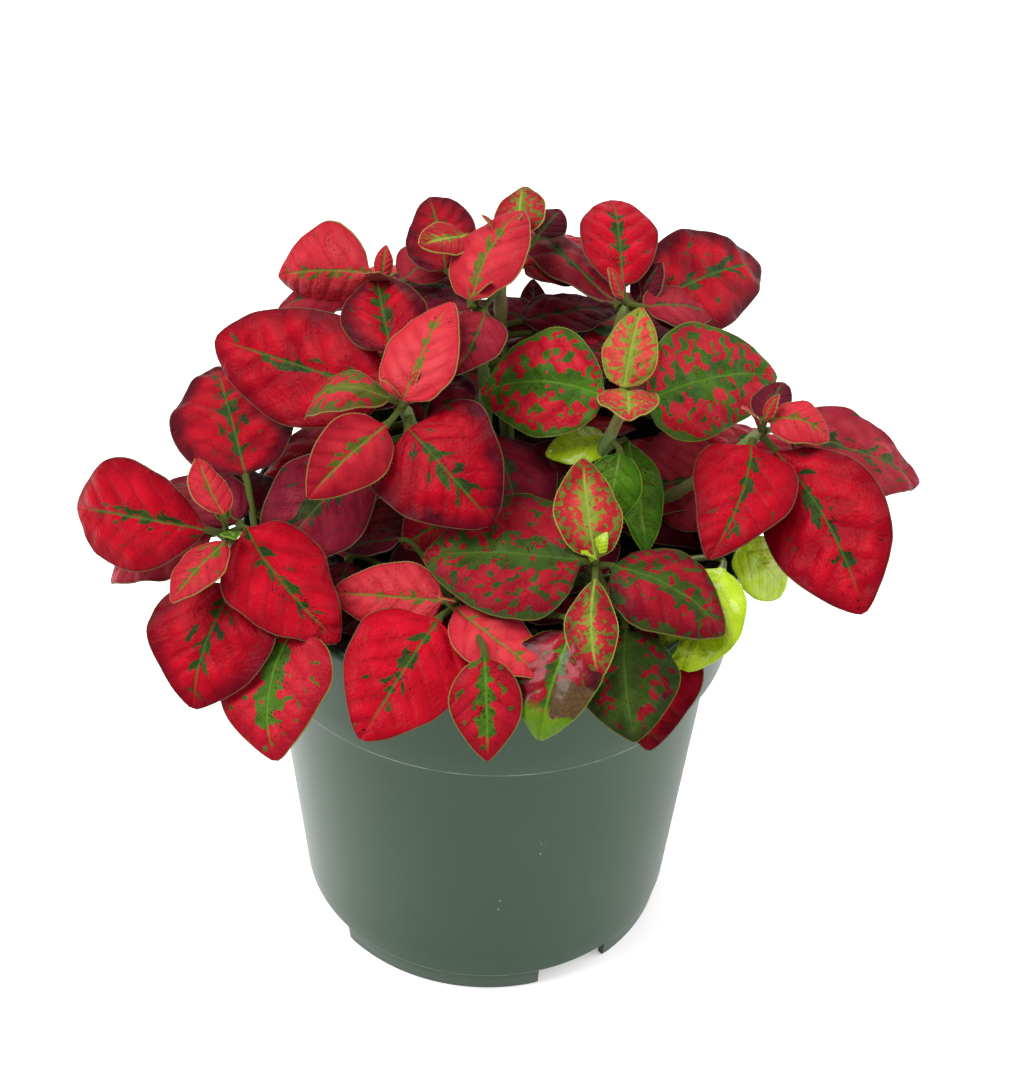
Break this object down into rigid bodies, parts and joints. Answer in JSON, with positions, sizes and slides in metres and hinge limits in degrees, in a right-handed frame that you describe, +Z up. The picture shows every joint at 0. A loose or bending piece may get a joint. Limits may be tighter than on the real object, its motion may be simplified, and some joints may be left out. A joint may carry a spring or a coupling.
{
  "type": "potted polka dot plant",
  "caption": "Bushy low house plant with red, speckled oval leaves on slender stems, rooted in dark soil in a round tapered green nursery pot with a banded rim and a notched foot",
  "frame": {"origin": "the middle of the plant's outline seen from above, on the plane that the pot's foot ring stands on", "axes": "+Z up, -Y towards the front of the plant, +X to its right and along its widest spread"},
  "size_m": [0.1672, 0.1328, 0.15],
  "materials": {
    "pot": "satin dark green moulded plastic",
    "soil": "rough, dark, moist potting mix",
    "stem": "green to reddish, finely haired",
    "leaf_red": "soft satin, crimson with green veins and speckles",
    "leaf_mottled": "soft satin, green ground with red splashes",
    "leaf_young": "soft satin, salmon with yellow-green veins",
    "leaf_dull": "matt, dusky purple-pink",
    "leaf_lime": "glossy, lime green, puckered",
    "leaf_green": "satin, mid green with maroon speckles"
  },
  "bodies": {
    "root": {"back_centre_leaf_1": "leaf_mottled", "back_centre_leaf_2": "leaf_dull", "back_centre_stem": "stem", "back_left_leaf_1": "leaf_red", "back_left_leaf_2": "leaf_red", "back_left_stem": "stem", "back_right_leaf_1": "leaf_dull", "back_right_leaf_2": "leaf_red", "back_right_leaf_3": "leaf_red", "back_right_leaf_4": "leaf_red", "back_right_leaf_5": "leaf_red", "back_right_stem": "stem", "centre_left_leaf_1": "leaf_young", "centre_left_leaf_2": "leaf_young", "centre_left_leaf_3": "leaf_red", "centre_left_leaf_4": "leaf_red", "centre_left_leaf_5": "leaf_red", "centre_left_leaf_6": "leaf_dull", "centre_left_leaf_7": "leaf_red", "centre_left_stem": "stem", "centre_right_leaf_1": "leaf_mottled", "centre_right_leaf_2": "leaf_mottled", "centre_right_leaf_3": "leaf_young", "centre_right_leaf_4": "leaf_green", "centre_right_stem": "stem", "front_left_leaf_1": "leaf_young", "front_left_leaf_2": "leaf_young", "front_left_leaf_3": "leaf_red", "front_left_leaf_4": "leaf_red", "front_left_leaf_5": "leaf_dull", "front_left_stem": "stem", "front_right_leaf_1": "leaf_young", "front_right_leaf_2": "leaf_young", "front_right_leaf_3": "leaf_mottled", "front_right_leaf_4": "leaf_mottled", "front_right_leaf_5": "leaf_mottled", "front_right_leaf_6": "leaf_lime", "front_right_stem": "stem", "left_leaf_1": "leaf_red", "left_leaf_2": "leaf_young", "left_leaf_3": "leaf_young", "left_leaf_4": "leaf_red", "left_leaf_5": "leaf_red", "left_leaf_6": "leaf_mottled", "left_leaf_7": "leaf_red", "left_stem": "stem", "pot": "pot", "rear_leaf_1": "leaf_dull", "rear_leaf_2": "leaf_young", "rear_leaf_3": "leaf_red", "rear_leaf_4": "leaf_mottled", "rear_stem": "stem", "right_leaf_1": "leaf_young", "right_leaf_2": "leaf_dull", "right_leaf_3": "leaf_red", "right_leaf_4": "leaf_red", "right_leaf_5": "leaf_dull", "right_leaf_6": "leaf_lime", "right_stem": "stem", "soil": "soil"}
  },
  "joints": []
}
